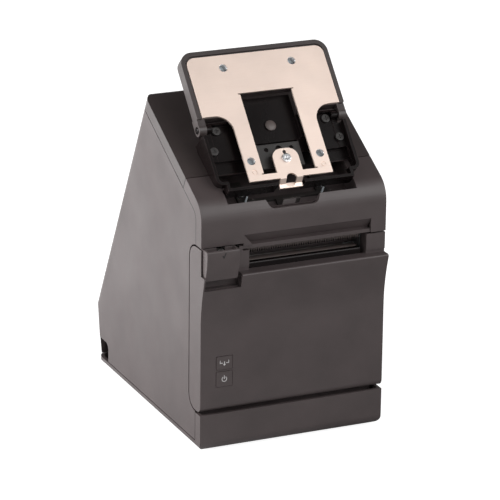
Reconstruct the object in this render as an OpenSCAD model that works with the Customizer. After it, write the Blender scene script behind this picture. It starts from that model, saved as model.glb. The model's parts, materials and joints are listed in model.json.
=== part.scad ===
// Receipt printer with a front-opening roll cover and a tilting tablet stand.
// X runs to the printer's right as seen from its front, Y to the rear and Z up. The origin is on the
// table, under the middle of the bounding box. Inside the modules Y is measured from the front face.

/* [Case] */
// Width of the case
body_w = 140; // [138:0.5:144]
// Depth of the case, from the front face to the rear bulge
body_d = 200.5; // [200:0.5:206]
// Thickness of the moulded walls
wall = 2.4; // [2:0.1:2.8]
// Height of the rubber feet under the base
foot_h = 1.5; // [1:0.1:2]
// Height of the top edge of the base's front band
band_top = 29; // [28:0.1:29.4]
// Gap at the seams between the fixed covers
seam = 0.65; // [0.3:0.05:0.8]

/* [Roll cover] */
// Gap between the roll cover and the case
cover_gap = 1.2; // [1:0.1:1.4]
// How far the top lip of the roll cover leans out in front of the case
flare = 6; // [4:0.5:7]
// Height of the roll cover's top lip
cover_top = 131.5; // [131:0.1:132]
// Travel of the two buttons
button_travel = 0.8; // [0.5:0.1:0.9]

/* [Paper path] */
// Width of the paper
paper_w = 80; // [76:1:80]
// Sideways place of the middle of the paper
paper_x = 9.25; // [9:0.05:9.5]
// Radius of the platen rubber
platen_r = 6; // [5.5:0.1:6]
// Clearance of each running fit, on the radius
running = 0.05; // [0.03:0.01:0.08]
// Gear module of the feed train
gear_m = 0.6; // [0.6]

/* [Tablet stand] */
// Tilt of the tablet plate above the horizontal, at rest
plate_tilt = 47.5; // [46:0.5:48]
// Thickness of the tablet plate
plate_t = 1.6; // [1.2:0.1:1.8]
// Radius of the four tablet mounting holes
plate_hole_r = 3; // [2:0.1:3.2]

/* [Hidden] */
slope = 28;
half_w = body_w / 2;
front_r = 18;
slope_z0 = 179.3;
rear_r = 10;
base_r = 6;
wrap = 9;
split_y = 27;

// Outline of the case seen from its left: [depth, height, corner radius], anticlockwise.
case_corners = [
    [0, foot_h, 8], [body_d - 6.3, foot_h, 3], [body_d + 0.5, 48.2, 12],
    [103.6, 234.4, 4], [0, slope_z0, front_r],
];
// Line of the side seam under the upper covers: the case's outline with an endless slope.
seam_corners = [
    [0, foot_h, 8], [400, foot_h, 3], [400, slope_z0 + 400 * tan(slope), 4], [0, slope_z0, front_r],
];
strip_top = 7.8;
strip_front = 8.5;
notch_y = 172;
notch_top = 22.5;
foot_x = 56;
foot_y0 = 18;
foot_y1 = 176;
screw_x = 60;
screw_y = 22;
vent_count = 6;
vent_half = 28;
vent_z = 172;
vent_pitch = 6;
vent_w = 2.6;
notch_half = 24.5;
notch_z = 173.5;

// Hinge of the roll cover, and the round lip about it.
hinge_y = 5;
hinge_z = 36;
lip_r = 5;
hinge_pin_r = 1.5;
wing_y = 19.5;
wing_bottom = 31;
wing_top = 150.3;
wing_top_right = 146;
wing_r = 10;
flare_start = 96;
hinge_ear_x = 50;
hinge_ear_w = 6;

// Mouth, between the roll cover's lip and the upper front cover.
mouth_x0 = -33.8;
hood_x0 = -38.5;
mouth_x1 = 55.5;
mouth_top = 149;
upper_bottom = 147.2;
upper_bottom_left = 151.6;
lever_x0 = -68.7;
lever_x1 = -44.5;
block_x0 = -41.5;
block_x1 = -33.8;
pocket_z = 121.5;
pocket_y = 4.8;
lever_bottom = 129;
lever_top = 151;
lever_pin_y = 2.2;
lever_pin_z = 147.8;
lever_pin_r = 1.25;

button_x0 = -58;
button_x1 = -46;
feed_z0 = 61.5;
feed_z1 = 71.1;
power_z0 = 48.9;
power_z1 = 59.9;
key_gap = 0.35;
key_stem_y = 4.7;
cheek_l0 = -39.4;
cheek_l1 = -34.8;
cheek_r0 = 52.5;
cheek_r1 = 55;
rib_count = 7;
rib_pitch = 12;

// Platen, and the gear train behind it in the plane of the right frame plate.
platen_y = 16;
platen_z = 122;
shaft_r = 3;
platen_x0 = paper_x - paper_w / 2 - 1.5;
platen_x1 = paper_x + paper_w / 2 + 1.5;
plate_left = -45.2;
plate_right = 56;
plate_thick = 1.2;
bush_r = 4.4;
platen_teeth = 28;
small_teeth = 18;
big_teeth = 40;
idler_teeth = 30;
pinion_teeth = 12;
backlash = 0.12;
stud_r = 1.5;
mesh_slack = 0.05;
train_angle = -7;
idler_angle = 20;
motor_angle = -36;
function pitch_r(teeth) = gear_m * teeth / 2;
function from_point(p, r, angle) = [p[0] + r * cos(angle), p[1] + r * sin(angle)];
platen_c = [platen_y, platen_z];
reduction_c = from_point(platen_c, pitch_r(platen_teeth) + pitch_r(small_teeth) + mesh_slack, train_angle);
idler_c = from_point(reduction_c, pitch_r(big_teeth) + pitch_r(idler_teeth) + mesh_slack, idler_angle);
motor_c = from_point(idler_c, pitch_r(idler_teeth) + pitch_r(pinion_teeth) + mesh_slack, motor_angle);
layer_a = 58;
layer_b = 62.4;
gear_w = 3;

// Thermal head and cutter.
tear_y = 7.2;
tear_x0 = -33.5;
tear_x1 = 54;
tear_z = 145;
tooth_pitch = 1.76;
tooth_h = 3.2;
bed_x0 = -43;
bed_x1 = 55.5;
head_x0 = -32;
head_x1 = 50.5;
fin_count = 12;
fin_pitch = 6;
head_face_y = platen_y + platen_r + 0.1;
head_pivot = [30, 130.5];
blade_z = 136;
blade_t = 0.8;
blade_edge_y = 16;
blade_y = 23.5;
rack_module = 0.8;
cutter_teeth = 14;
cutter_pinion_r = rack_module * cutter_teeth / 2;
cutter_pinion_c = [50, blade_z + blade_t + 1.6 + cutter_pinion_r + mesh_slack];
cutter_wheel_teeth = 36;
cutter_drive_teeth = 10;
cutter_gear_m = 0.6;
cutter_drive_dist = cutter_gear_m * (cutter_wheel_teeth + cutter_drive_teeth) / 2 + mesh_slack;
cutter_motor_c = from_point(cutter_pinion_c, cutter_drive_dist, 20);

// Roll bay, round a full roll.
bay_x0 = -34;
bay_x1 = 52.5;
bay_y = 110;
bay_bottom = 14;
bay_top = 103;
bay_wall = 2;
bay_r = 12;

// Rear connectors.
board_y = 130;
board_t = 1.6;
board_foot_z = 12;
panel_y = 147;
panel_half = 58;
panel_z1 = 62;
port_z = 30;

// Tablet stand, in axes that have their origin on the tilt pins, v up the plate and w out of it.
pin_y = 41.1;
pin_z = 222.2;
plate_w = 6;
plate_half = 52;
leg_half = 31.3;
window_half = 19.5;
plate_v0 = -45.2;
plate_v1 = 52.2;
shoulder_v = 6.6;
window_v0 = -40.9;
window_v1 = 21.8;
hole_half = 26;
hole_v0 = -30;
hole_v1 = 42.4;
tray_half = 55.7;
tray_v1 = 56.9;
tray_depth = 9;
cradle_half = 54;
cradle_v0 = -49.1;
step_half = 47.5;
step_v = -44;
tilt_pin_r = 2.5;
recess_half = 48.8;
recess_y = 3.1;
recess_deep = 15;
shoulder_r = 12;
tongue_half = 9.6;
tongue_v1 = -23.2;
tongue_hole_v = -25.9;
lock_v = -31;
dimple_v = -38.5;
collar_h = 2;
ear_in = 50.2;
ear_r = 4.4;
cradle_v1 = 3.5;
cradle_w = 3.6;
ledge_v = -24;
pocket_w = -6;
panel_v0 = -14;
panel_v1 = 21.2;
cradle_screw_at = [[41.6, -1.3, -2.4], [47.6, -16.6, -1.8]];
bracket_half = 16;
bracket_v0 = -34;
bracket_v1 = -16;
bracket_w = -1;
recess_end = 38;

// ---- Shared shapes ----

function unit(v) = v / norm(v);

// One rounded corner of an outline, set in by t, as the points of its arc.
function corner(a, b, c, r, t, n) =
    let (
        u = unit([a[0] - b[0], a[1] - b[1]]),
        v = unit([c[0] - b[0], c[1] - b[1]]),
        half = acos(u * v) / 2,
        bisector = unit(u + v),
        left = max(r - t, 0.01),
        tip = [b[0], b[1]] + bisector * t / sin(half),
        centre = tip + bisector * left / sin(half),
        start = tip + u * left / tan(half) - centre,
        finish = tip + v * left / tan(half) - centre,
        a0 = atan2(start[1], start[0]),
        turn = atan2(finish[1], finish[0]) - a0,
        sweep = turn > 180 ? turn - 360 : turn < -180 ? turn + 360 : turn
    )
    [for (i = [0 : n]) centre + left * [cos(a0 + sweep * i / n), sin(a0 + sweep * i / n)]];

// A convex outline of [x, y, radius] corners, set in by t.
function outline(corners, t = 0, n = 10) =
    let (k = len(corners))
    [for (i = [0 : k - 1]) each corner(
        corners[(i + k - 1) % k], corners[i], corners[(i + 1) % k], corners[i][2], t, n)];

// A rectangle with rounded corners, as a polygon of true arcs.
module round_rect(x0, x1, y0, y1, r, n = 8) {
    polygon(outline([[x0, y0, r], [x1, y0, r], [x1, y1, r], [x0, y1, r]], 0, n));
}

// Stretch a profile drawn as (depth, height) from x0 to x1.
module slab(x0, x1) {
    translate([x0, 0, 0]) rotate([90, 0, 90]) linear_extrude(x1 - x0) children();
}

// Stretch a profile drawn as (x, height) backwards from y0 to y1.
module front_slab(y0, y1) {
    translate([0, y1, 0]) rotate([90, 0, 0]) linear_extrude(y1 - y0) children();
}

module box(x0, x1, y0, y1, z0, z1) {
    translate([x0, y0, z0]) cube([x1 - x0, y1 - y0, z1 - z0]);
}

// A rod along X through (depth, height) c.
module x_rod(x0, x1, c, r, fn = 64) {
    translate([x0, c[0], c[1]]) rotate([0, 90, 0]) cylinder(r = r, h = x1 - x0, $fn = fn);
}

module y_rod(y0, y1, x, z, r, fn = 48) {
    translate([x, y0, z]) rotate([-90, 0, 0]) cylinder(r = r, h = y1 - y0, $fn = fn);
}

module z_rod(z0, z1, x, y, r, fn = 48) {
    translate([x, y, z0]) cylinder(r = r, h = z1 - z0, $fn = fn);
}

// Outline of a spur gear with involute flanks.
function involute(base, r) = sqrt(max(r * r / (base * base) - 1, 0)) * 180 / PI - acos(min(base / r, 1));
function gear_points(teeth, m, slack) =
    let (
        pitch = teeth * m / 2,
        base = pitch * cos(20),
        root = pitch - 1.25 * m,
        tip = pitch + 0.95 * m,
        half = 90 / teeth - slack / pitch * 90 / PI + involute(base, pitch),
        steps = 5,
        low = max(root, base)
    )
    [for (i = [0 : teeth - 1]) each concat(
        [for (s = [0 : steps]) let (r = s == 0 ? root : low + (tip - low) * (s - 1) / (steps - 1),
            a = 360 * i / teeth - half + involute(base, max(r, base))) r * [cos(a), sin(a)]],
        [for (s = [steps : -1 : 0]) let (r = s == 0 ? root : low + (tip - low) * (s - 1) / (steps - 1),
            a = 360 * i / teeth + half - involute(base, max(r, base))) r * [cos(a), sin(a)]])];

// A spur gear about X at (depth, height) c, with one tooth pointing along angle.
module spur(x0, x1, c, teeth, m, angle, bore) {
    slab(x0, x1) translate(c) difference() {
        rotate(angle) polygon(gear_points(teeth, m, backlash));
        if (bore > 0) circle(r = bore, $fn = 48);
    }
}

// A screw with a round head and a cross recess, its head's top at the origin, facing +Z.
module pan_screw(head_r, head_h, shank_r, shank_l) {
    difference() {
        union() {
            translate([0, 0, -head_h]) cylinder(r = head_r, h = head_h, $fn = 48);
            translate([0, 0, -head_h - shank_l]) cylinder(r = shank_r, h = shank_l + 0.1, $fn = 32);
        }
        for (a = [0, 90]) rotate(a)
            translate([-head_r * 0.55, -head_r * 0.13, -head_h * 0.55])
            cube([head_r * 1.1, head_r * 0.26, head_h]);
    }
}

// ---- Case ----

module case_profile(t = 0) { polygon(outline(case_corners, t)); }

// The case as a solid, set in by t, with rounded rear corners and bottom edges.
module case_solid(t = 0) {
    low = case_corners[1];
    back = case_corners[2];
    peak = case_corners[3];
    intersection() {
        slab(-half_w + t, half_w - t) case_profile(t);
        rear_prism(atan2(back[0] - peak[0], peak[1] - back[1]), t);
        rear_prism(atan2(low[0] - back[0], back[1] - low[1]), t);
        front_slab(-50, 300) polygon(outline([
            [-half_w, foot_h, base_r], [half_w, foot_h, base_r], [half_w, 300, 1], [-half_w, 300, 1]], t));
    }
}

// An endless bar, leaning forward by lean through the rear bulge, with rounded rear corners.
module rear_prism(lean, t) {
    translate([0, case_corners[2][0], case_corners[2][1]]) rotate([lean, 0, 0]) translate([0, 0, -300])
        linear_extrude(600) polygon(outline([
            [-half_w, -300, 1], [half_w, -300, 1], [half_w, 0, rear_r], [-half_w, 0, rear_r]], t));
}

module case_shell() {
    difference() {
        case_solid();
        case_solid(wall);
    }
}

// Side view of the space that the roll cover takes, grown by g.
module wing_profile(top, g = 0) {
    polygon(outline([
        [-30 - g, wing_bottom - g, 1], [wing_y + g, wing_bottom - g, wing_r + g],
        [wing_y + g, top + g, wing_r + g], [-30 - g, top + g, 1]], 0, 12));
}

module wing_space(g = 0) {
    slab(-half_w - 1, 0) wing_profile(wing_top, g);
    slab(-0.1, half_w + 1) wing_profile(wing_top_right, g);
}

// Side view of the base's front band and its side strips, grown by g.
module band_profile(g = 0) {
    translate([-10, -10]) square([strip_front + 10 + g, band_top + 10 + g]);
    translate([-10, -10]) square([body_d + 20, strip_top + 10 + g]);
}

// Side view of everything above the side seam of the upper covers, grown by g.
module crown_profile(bottom, g = 0) {
    difference() {
        translate([-20, bottom - g]) square([260, 200]);
        polygon(outline(seam_corners, wrap + g));
    }
}

module crown_space(g = 0) {
    slab(-half_w - 1, hood_x0 + 0.5) crown_profile(upper_bottom_left, g);
    slab(hood_x0 + 0.4, half_w + 1) crown_profile(upper_bottom, g);
}

// Everything behind a line square to the slope, starting at depth y on the slope.
module behind_split(y) {
    slab(-half_w - 1, half_w + 1) translate([y, slope_z0 + y * tan(slope)]) rotate(slope)
        translate([0, -60]) square([200, 120]);
}

// A block cut square to the slope, with its front edge at recess_y and g larger all round.
module recess_block(g, deep) {
    translate([0, recess_y, slope_z0 + recess_y * tan(slope)]) rotate([slope, 0, 0])
        translate([-recess_half - g, -g, -deep - g])
        cube([2 * (recess_half + g), recess_end + 2 * g, deep + 20]);
}

module base_tray() {
    color([0.28, 0.27, 0.27]) {
        difference() {
            intersection() {
                case_shell();
                slab(-half_w - 1, half_w + 1) band_profile();
            }
            for (x = [-foot_x, foot_x]) for (y = [foot_y0, foot_y1])
                z_rod(foot_h - 1, foot_h + 1, x, y, 6);
            // Openings over the power and network cables.
            box(-panel_half, panel_half, body_d - 12, body_d + 5, foot_h + wall, strip_top + 1);
        }
        // Ears that hold the hinge pin, reaching forward from posts on the floor.
        for (x = [-hinge_ear_x, hinge_ear_x]) difference() {
            union() {
                box(x - hinge_ear_w / 2, x + hinge_ear_w / 2, 13, 19, foot_h + wall, hinge_z + 2.8);
                box(x - hinge_ear_w / 2, x + hinge_ear_w / 2, hinge_y, 19, hinge_z - 2.8, hinge_z + 2.8);
                x_rod(x - hinge_ear_w / 2, x + hinge_ear_w / 2, [hinge_y, hinge_z], 2.8);
            }
            x_rod(x - 5, x + 5, [hinge_y, hinge_z], hinge_pin_r);
        }
        // A rib that closes the view under the roll cover.
        difference() {
            box(-66, 66, 11.2, 12.6, foot_h + wall, band_top + 1);
            for (x = [-hinge_ear_x, hinge_ear_x]) box(x - 4, x + 4, 10, 14, hinge_z - 3, 60);
        }
        // Posts under the board and the mechanism.
        for (x = [-52, 52]) z_rod(foot_h + wall, board_foot_z, x, board_y - 6, 3);
    }
}

module rubber_feet() {
    color([0.1, 0.1, 0.1]) for (x = [-foot_x, foot_x]) for (y = [foot_y0, foot_y1]) difference() {
        z_rod(0, foot_h + 1, x, y, 6);
        z_rod(-1, 0.6, x, y, 2.5);
    }
}

module main_case() {
    color([0.28, 0.27, 0.27]) difference() {
        case_shell();
        wing_space(cover_gap);
        slab(-half_w - 1, half_w + 1) band_profile(seam);
        crown_space(seam);
        box(-half_w - 1, half_w + 1, -5, strip_front + seam, -5, 160);
        // The rear opening over the connectors, and the cable outlet on each side.
        front_slab(150, body_d + 10) round_rect(-panel_half, panel_half, strip_top - 10, panel_z1 + 6, 5);
        slab(-half_w - 5, half_w + 5) polygon(outline([
            [notch_y, -5, 1], [body_d - 10, -5, 1], [body_d - 7.5, notch_top, 3], [notch_y, notch_top, 5]]));
        // Ventilation slots high on the rear slope.
        for (i = [0 : vent_count - 1])
            front_slab(100, 160) round_rect(-vent_half, vent_half, vent_z + i * vent_pitch,
                vent_z + i * vent_pitch + vent_w, vent_w / 2 - 0.01);
    }
}

module top_cover() {
    color([0.14, 0.13, 0.13]) difference() {
        intersection() {
            case_shell();
            crown_space();
            behind_split(split_y + seam);
        }
        recess_block(2.6, recess_deep + 2);
    }
}

module upper_front_cover() {
    color([0.27, 0.26, 0.26]) {
        difference() {
            union() {
                difference() {
                    intersection() {
                        case_shell();
                        crown_space();
                    }
                    behind_split(split_y);
                }
                // The hood over the paper mouth; its lip hangs lower between the blocks of the roll cover.
                difference() {
                    slab(hood_x0, mouth_x1 + 3) polygon([
                        [0.3, mouth_top + 10], [0.3, mouth_top - 1.8], [6.8, mouth_top - 3.4],
                        [9.5, mouth_top - 3], [9.5, mouth_top + 14], [0.5, mouth_top + 14]]);
                    box(hood_x0 - 1, mouth_x0 + 0.15, -1, 12, mouth_top - 9, upper_bottom);
                    box(mouth_x1 - 0.4, mouth_x1 + 4, -1, 12, mouth_top - 9, upper_bottom);
                }
                // The well that the stand sits in.
                intersection() {
                    difference() {
                        recess_block(2, recess_deep);
                        recess_block(0, recess_deep);
                    }
                    slab(-half_w + wall, half_w - wall) case_profile(0);
                }
            }
            recess_block(0, recess_deep);
            mouth_cut();
            finger_notch();
            // The slot that holds the tear bar.
            box(tear_x0 - 0.1, tear_x1 + 0.1, tear_y - 0.1, tear_y + 1.1, mouth_top - 5, mouth_top - 0.8);
        }
    }
}

// The mouth: a groove that leans in under the front face, with a lip below it and the slot under that.
module mouth_cut() {
    difference() {
        slab(hood_x0, mouth_x1 + 3) polygon([
            [-5, mouth_top + 8.5], [0.4, mouth_top + 8.5], [5.2, mouth_top + 1.2], [1.2, mouth_top + 0.6],
            [1.2, mouth_top - 1.8], [6.8, mouth_top - 3.4], [6.8, mouth_top - 8], [-5, mouth_top - 8]]);
        // The groove's left end leans in towards the lip.
        front_slab(-6, 9) polygon([[hood_x0 - 1, mouth_top + 9], [hood_x0, mouth_top + 9],
            [hood_x0 + 7, mouth_top + 0.6], [hood_x0 - 1, mouth_top + 0.6]]);
    }
}

// A scalloped notch for a finger below the stand's well.
module finger_notch() {
    front_slab(-2, 12) polygon(outline([
        [-notch_half, slope_z0 + 8, 1], [-notch_half + 7, notch_z, 5],
        [notch_half - 7, notch_z, 5], [notch_half, slope_z0 + 8, 1]], 0, 8));
}

module case_screws() {
    color([0.2, 0.2, 0.2]) for (x = [-screw_x, screw_x]) {
        translate([x, screw_y, foot_h + wall + 1.6]) pan_screw(3, 1.6, 1.4, 0);
        translate([x, body_d - 30, foot_h + wall + 1.6]) pan_screw(3, 1.6, 1.4, 0);
    }
}

// ---- Roll cover ----

// Front face of the roll cover: straight, then leaning out towards the lip.
flare_steps = 8;
function front_y(z) = z <= flare_start ? 0
    : -flare * pow((z - flare_start) / (cover_top - 1.5 - flare_start), 1.7);
flare_points = [for (i = [0 : flare_steps])
    let (z = flare_start + (cover_top - 1.5 - flare_start) * i / flare_steps) [front_y(z), z]];

module cover_profile() {
    lip = flare_points[flare_steps];
    polygon(concat(
        [for (a = [180 : 15 : 270]) [hinge_y + lip_r * cos(a), hinge_z + lip_r * sin(a)]],
        [[wing_y - wing_r, wing_bottom]],
        [for (a = [-90 : 10 : 0])
            [wing_y - wing_r + wing_r * cos(a), wing_bottom + wing_r + wing_r * sin(a)]],
        [[wing_y, cover_top], [lip[0] + 1.5, cover_top]],
        [for (a = [90 : 30 : 180]) [lip[0] + 1.5 + 1.5 * cos(a), lip[1] + 1.5 * sin(a)]],
        [for (i = [flare_steps : -1 : 0]) flare_points[i]]));
}

// The inside of the cover's shell, wall thick behind the front face and lip.
module cover_hollow() {
    lip = flare_points[flare_steps];
    polygon(concat(
        [[wall, hinge_z + 3], [hinge_y + lip_r + 0.5, hinge_z + 3], [hinge_y + lip_r + 0.5, 0], [60, 0],
        [60, cover_top - wall], [lip[0] + wall + 0.5, cover_top - wall]],
        [for (i = [flare_steps : -1 : 0]) flare_points[i] + [wall, 0]]));
}

module roll_cover() {
    color([0.3, 0.28, 0.28]) difference() {
        union() {
            difference() {
                slab(-half_w, half_w) cover_profile();
                slab(-half_w + wall, half_w - wall) cover_hollow();
            }
            // The wings carry on up beside the lever and the mouth, and a lug holds the lever's pin.
            slab(-half_w, -half_w + 1) intersection() {
                wing_profile(wing_top);
                translate([0, cover_top - 5]) square([40, 60]);
            }
            slab(block_x0, block_x0 + 2.5) polygon([
                [0.2, wing_top_right - 6], [0.2, wing_top - 0.6], [4.4, wing_top - 0.6],
                [7, wing_top_right - 6]]);
            slab(half_w - 1, half_w) intersection() {
                wing_profile(wing_top_right);
                translate([1.6, cover_top - 5]) square([40, 60]);
            }
            slab(block_x0, block_x1) side_block(wing_top_right);
            slab(mouth_x1, half_w) side_block(wing_top_right);
            // A liner closes the lever's pocket behind and below.
            box(-half_w + 1, block_x0 + 1.5, pocket_y, pocket_y + 1.5, pocket_z - 1.5, lever_pin_z);
            box(-half_w + 1, block_x0 + 1.5, 0, pocket_y + 1.5, pocket_z - 1.5, pocket_z);
            box(block_x0, block_x0 + 1.5, 0, pocket_y + 1.5, pocket_z - 1.5, cover_top - 1);
        }
        x_rod(-half_w + 1, block_x0 + 1.5, [lever_pin_y, lever_pin_z], lever_pin_r);
        // The pocket under the lever, for a finger.
        box(-half_w + 1, block_x0, -12, pocket_y, pocket_z, cover_top + 5);
        // The lip is open behind where the base's ears reach the hinge pin.
        for (x = [-hinge_ear_x, hinge_ear_x]) {
            x0 = x - hinge_ear_w / 2 - 0.4;
            x1 = x + hinge_ear_w / 2 + 0.4;
            x_rod(x0, x1, [hinge_y, hinge_z], 3.3);
            box(x0, x1, hinge_y, 30, hinge_z - 10, hinge_z + 12);
            box(x0, x1, hinge_y - 3.2, hinge_y + 1, hinge_z - 10, hinge_z);
        }
        x_rod(-hinge_ear_x - 12, hinge_ear_x + 12, [hinge_y, hinge_z], hinge_pin_r + running);
        for (z = [[feed_z0, feed_z1], [power_z0, power_z1]])
            front_slab(-5, 10) round_rect(button_x0 - key_gap, button_x1 + key_gap,
                z[0] - key_gap, z[1] + key_gap, 1);
        // The top deck is open over the paper path, and behind it for the mechanism's side plates.
        box(mouth_x0, mouth_x1, 4, 40, 100, 160);
        box(-half_w + wall, half_w - wall, 12.2, 40, 100, 160);
        box(layer_a - 1, layer_a + gear_w + 1, 6.5, 40, 100, cover_top - 0.8);
    }
}

// A block that fills the wing's depth beside the mouth, with a small ledge near its foot.
module side_block(top) {
    intersection() {
        wing_profile(top);
        difference() {
            translate([0.6, cover_top - 1]) square([9.4, 60]);
            translate([-1, cover_top]) square([2.4, 2.6]);
        }
    }
}

// The frame behind the cover's face: cheeks for the platen, and the guide below the mouth.
module cover_inner_frame() {
    color([0.16, 0.16, 0.17]) difference() {
        union() {
            for (x = [[cheek_l0, cheek_l1], [cheek_r0, cheek_r1]]) slab(x[0], x[1]) cheek_profile();
            slab(cheek_l1, mouth_x0 + 0.1) translate([4.2, cover_top - 10]) square([2, 7]);
            slab(mouth_x0 + 0.1, cheek_r0) polygon([
                [4.2, cover_top - 10], [6.2, cover_top - 10], [6.2, cover_top + 1], [9.4, cover_top - 1.2],
                [9.4, cover_top + 0.8], [6.4, cover_top + 4], [4.6, cover_top + 4], [4.2, cover_top + 3.4]]);
            slab(cheek_l1, cheek_r0) polygon([
                [wall + 0.6, 84], [wall + 2.6, 84], [wall + 2.6, 112], [8, 117], [8, 119],
                [wall + 0.6, 113]]);
            for (i = [0 : rib_count - 1]) let (x = cheek_l1 + 6 + i * rib_pitch)
                slab(x, x + 1.4) polygon([[wall + 2.6, 88], [8, 96], [9, 114], [8, 117], [wall + 2.6, 112]]);
        }
        x_rod(-60, 70, platen_c, bush_r);
    }
}

// A cheek that carries one end of the platen.
module cheek_profile() {
    polygon([[wall + 0.6, 84], [10, 90], [platen_y + 5, platen_z - 8], [platen_y + 6.5, platen_z - 3],
        [platen_y + 6.5, platen_z + 3], [platen_y + 3, platen_z + 6.5], [4.2, cover_top - 3.2],
        [wall + 0.6, 112]]);
}

module cover_hinge_pin() {
    color([0.75, 0.75, 0.76])
        x_rod(-hinge_ear_x - 11, hinge_ear_x + 11, [hinge_y, hinge_z], hinge_pin_r);
}

module platen_shaft() {
    color([0.78, 0.78, 0.8]) {
        x_rod(platen_x0 - 0.2, platen_x1 + 0.2, platen_c, shaft_r);
        x_rod(cheek_l0 - 3, layer_a + gear_w + 0.6, platen_c, shaft_r - 1);
    }
}

module platen_rubber() {
    color([0.07, 0.07, 0.07]) difference() {
        x_rod(platen_x0, platen_x1, platen_c, platen_r, 96);
        x_rod(platen_x0 - 1, platen_x1 + 1, platen_c, shaft_r);
    }
}

module platen_gear() {
    color([0.85, 0.84, 0.8]) spur(layer_a, layer_a + gear_w, platen_c, platen_teeth, gear_m,
        train_angle + 180 / platen_teeth, shaft_r - 1);
}

module platen_bushings() {
    color([0.85, 0.82, 0.7]) for (x = [[cheek_l0 - 1, cheek_l1], [cheek_r0, cheek_r1 + 1]]) difference() {
        x_rod(x[0], x[1], platen_c, bush_r);
        x_rod(x[0] - 1, x[1] + 1, platen_c, shaft_r - 1 + running);
    }
}

module fixed_blade() {
    color([0.75, 0.76, 0.78]) slab(mouth_x0 + 0.2, cheek_r0 - 0.1) polygon([
        [9.6, blade_z - 1.3], [blade_edge_y, blade_z - 1.3], [blade_edge_y - 0.2, blade_z - 0.15],
        [9.6, blade_z - 0.15]]);
}

// Front face of the lever, which swells towards its top.
lever_face = [for (i = [0 : 8]) let (t = i / 8)
    [-4.2 - 4.2 * sin(90 * t) + 0.8 * t * t, lever_bottom + t * (lever_top - 1.2 - lever_bottom)]];

// A curved wedge that turns on its pin.
module cover_lever() {
    color([0.29, 0.27, 0.27]) difference() {
        slab(lever_x0, lever_x1) polygon(concat(
            lever_face,
            [[-7.2, lever_top - 0.5], [-6.2, lever_top - 0.2], [lever_pin_y + 1.4, lever_top - 0.2],
            [lever_pin_y + 2.4, lever_pin_z + 1.6], [lever_pin_y + 2.4, lever_pin_z - 2],
            [lever_pin_y + 0.8, lever_pin_z - 3], [-1.2, lever_bottom + 3], [-2.2, lever_bottom]]));
        x_rod(lever_x0 - 1, lever_x1 + 1, [lever_pin_y, lever_pin_z], lever_pin_r + running);
        // The hollow top, and a pocket for the spring's coil.
        slab(lever_x0 + 1.6, lever_x1 - 1.6) polygon([
            [-5.8, lever_top + 1], [-5.2, lever_bottom + 13], [-3.6, lever_bottom + 9],
            [-2.8, lever_bottom + 9],
            [0.2, lever_pin_z - 1], [0.2, lever_top + 1]]);
        box(-58.4, -52.4, -1, 12, lever_pin_z - 3, lever_top + 1);
    }
}

module lever_pin() {
    color([0.75, 0.75, 0.76])
        x_rod(-half_w + 1, block_x0 + 1.5, [lever_pin_y, lever_pin_z], lever_pin_r);
}

module lever_spring() {
    color([0.7, 0.7, 0.72]) for (i = [0 : 3]) difference() {
        x_rod(-57.4 + i * 1.2, -56.6 + i * 1.2, [lever_pin_y, lever_pin_z], lever_pin_r + 0.9);
        x_rod(-58, -50, [lever_pin_y, lever_pin_z], lever_pin_r + 0.1);
    }
}

module key(z0, z1) {
    front_slab(-0.2, 2.6) round_rect(button_x0, button_x1, z0, z1, 0.7);
    front_slab(2.6, 3.4) round_rect(button_x0 - 1.2, button_x1 + 1.2, z0 - 0.3, z1 + 0.3, 0.7);
    y_rod(3.4, key_stem_y, (button_x0 + button_x1) / 2, (z0 + z1) / 2, 1.4);
}

module feed_button() { color([0.25, 0.24, 0.24]) key(feed_z0, feed_z1); }

module power_button() { color([0.25, 0.24, 0.24]) key(power_z0, power_z1); }

module button_board() {
    color([0.1, 0.3, 0.16]) front_slab(9, 10.2)
        round_rect(button_x0 - 3, button_x1 + 6, power_z0 - 4, feed_z1 + 4, 1);
    color([0.1, 0.3, 0.16]) for (z = [power_z0 - 2, feed_z1 + 2]) y_rod(wall, 9, button_x1 + 3.5, z, 1.2);
}

module key_switches() {
    color([0.12, 0.12, 0.12]) for (z = [(feed_z0 + feed_z1) / 2, (power_z0 + power_z1) / 2]) {
        x = (button_x0 + button_x1) / 2;
        box(x - 3, x + 3, 6.2, 9, z - 3, z + 3);
        y_rod(key_stem_y + button_travel + 0.1, 6.2, x, z, 1.5);
    }
}

// ---- Print and cut mechanism ----

// One side plate, with an open notch that the platen's bushing slips out of.
module frame_plate() {
    difference() {
        polygon([[13, 106], [76, 106], [76, 158], [20, 158], [20, 150], [13, 144]]);
        hull() {
            translate(platen_c) circle(r = bush_r + 0.4, $fn = 48);
            translate([platen_c[0] - 20, platen_c[1] - 2]) circle(r = bush_r + 0.9, $fn = 48);
        }
        translate(head_pivot) circle(r = 1.5, $fn = 32);
        translate(cutter_pinion_c) circle(r = 2, $fn = 32);
        translate(cutter_motor_c) circle(r = 2.2, $fn = 32);
    }
}

module mechanism_frame() {
    color([0.62, 0.63, 0.65]) difference() {
        union() {
            for (x = [plate_left, plate_right]) slab(x, x + plate_thick) frame_plate();
            // The floor of the frame, and its rear wall.
            box(plate_left + plate_thick, plate_right, 40, 76, 106, 106 + plate_thick);
            box(plate_left + plate_thick, plate_right, 74.8, 76, 106 + plate_thick, 150);
            // Feet that carry the frame on the roll bay's walls.
            for (x = [plate_left - 8, plate_right + plate_thick])
                box(x, x + 8, 44, 72, 106, 106 + plate_thick);
        }
        x_rod(plate_right - 1, plate_right + 3, motor_c, 3.8);
        for (c = [reduction_c, idler_c]) x_rod(plate_right - 1, plate_right + 3, c, stud_r);
    }
}

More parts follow.
